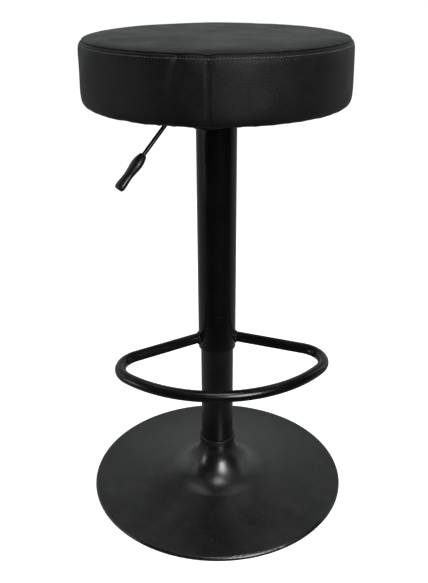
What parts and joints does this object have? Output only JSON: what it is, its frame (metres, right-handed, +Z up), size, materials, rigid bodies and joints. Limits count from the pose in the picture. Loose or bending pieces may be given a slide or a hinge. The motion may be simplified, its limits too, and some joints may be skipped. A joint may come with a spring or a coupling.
{
  "type": "bar stool",
  "caption": "Height-adjustable swivel bar stool: round padded seat on a gas-lift column with a D-shaped footrest, release lever and trumpet-shaped round base.",
  "frame": {"origin": "on the floor, at the column's axis", "axes": "+Z up along the column; the footrest points along -Y; the release lever points towards -X and a little towards -Y"},
  "size_m": [0.405, 0.405, 0.7093],
  "materials": {
    "satin_black_steel": "satin black powder coat",
    "bare_steel": "oiled plain steel",
    "zinc_steel": "bright zinc plate",
    "bearing_steel": "ground bearing steel",
    "chromed_rod": "polished chrome",
    "brass": "pressed brass",
    "aluminium": "turned aluminium",
    "black_plastic": "moulded, semi-matt",
    "nylon": "natural nylon",
    "black_rubber": "matt",
    "black_leather": "grained synthetic leather with a soft sheen",
    "plywood": "unfinished plywood",
    "foam": "open-cell foam",
    "black_cloth": "thin non-woven cloth"
  },
  "bodies": {
    "base": {"base_shell": "satin_black_steel", "base_plate": "bare_steel", "floor_ring": "black_rubber", "foot_flange": "bare_steel", "foot_bolts": "zinc_steel", "foot_washers": "zinc_steel", "neck_trim_ring": "black_plastic", "lower_tube": "satin_black_steel", "tube_foot_plug": "bare_steel", "cylinder_guide_bush": "nylon", "bearing_lower_race": "bearing_steel"},
    "swivel": {"piston_rod": "chromed_rod", "rod_clip": "zinc_steel", "rod_clip_washer": "zinc_steel", "bearing_cage": "brass", "bearing_balls": "bearing_steel", "bearing_upper_race": "bearing_steel", "rod_buffer": "black_rubber", "piston": "aluminium", "piston_seal": "black_rubber"},
    "lift": {"gas_cylinder": "satin_black_steel", "rod_guide_seal": "nylon", "upper_tube": "satin_black_steel", "upper_tube_slide_ring": "black_plastic", "footrest": "satin_black_steel", "footrest_welds": "satin_black_steel", "seat_plate": "satin_black_steel", "taper_socket": "satin_black_steel", "seat_bolts": "zinc_steel", "seat_washers": "zinc_steel", "seat_lock_washers": "zinc_steel", "tee_nuts": "zinc_steel", "lever_bracket": "satin_black_steel", "lever_pin": "zinc_steel", "seat_board": "plywood", "seat_foam": "foam", "cover_top_panel": "black_leather", "cover_side_band": "black_leather", "dust_cover": "black_cloth", "staples": "zinc_steel"},
    "lever": {"lever_paddle": "satin_black_steel", "lever_rod": "satin_black_steel", "lever_grip": "black_plastic"},
    "button": {"release_button": "zinc_steel"}
  },
  "joints": [
    {"name": "seat_swivel", "type": "hinge", "parent": "base", "child": "swivel", "pos_m": [0, 0, 0], "axis": [0, 0, 1], "continuous": true},
    {"name": "seat_height", "type": "slide", "parent": "swivel", "child": "lift", "axis": [0, 0, 1], "range_m": [-0.105, 0.1]},
    {"name": "lever_lift", "type": "hinge", "parent": "lift", "child": "lever", "pos_m": [-0.03852, -0.01675, 0.6113], "axis": [-0.3987, 0.9171, 0], "range_deg": [0, 6], "stiffness_Nm_per_rad": 4, "springref_deg": -5.73},
    {"name": "button_press", "type": "slide", "parent": "lift", "child": "button", "axis": [0, 0, -1], "range_m": [0, 0.0044]}
  ],
  "couplings": [
    {"joint": "button_press", "follows": "lever_lift", "m_per_rad": 0.042}
  ]
}
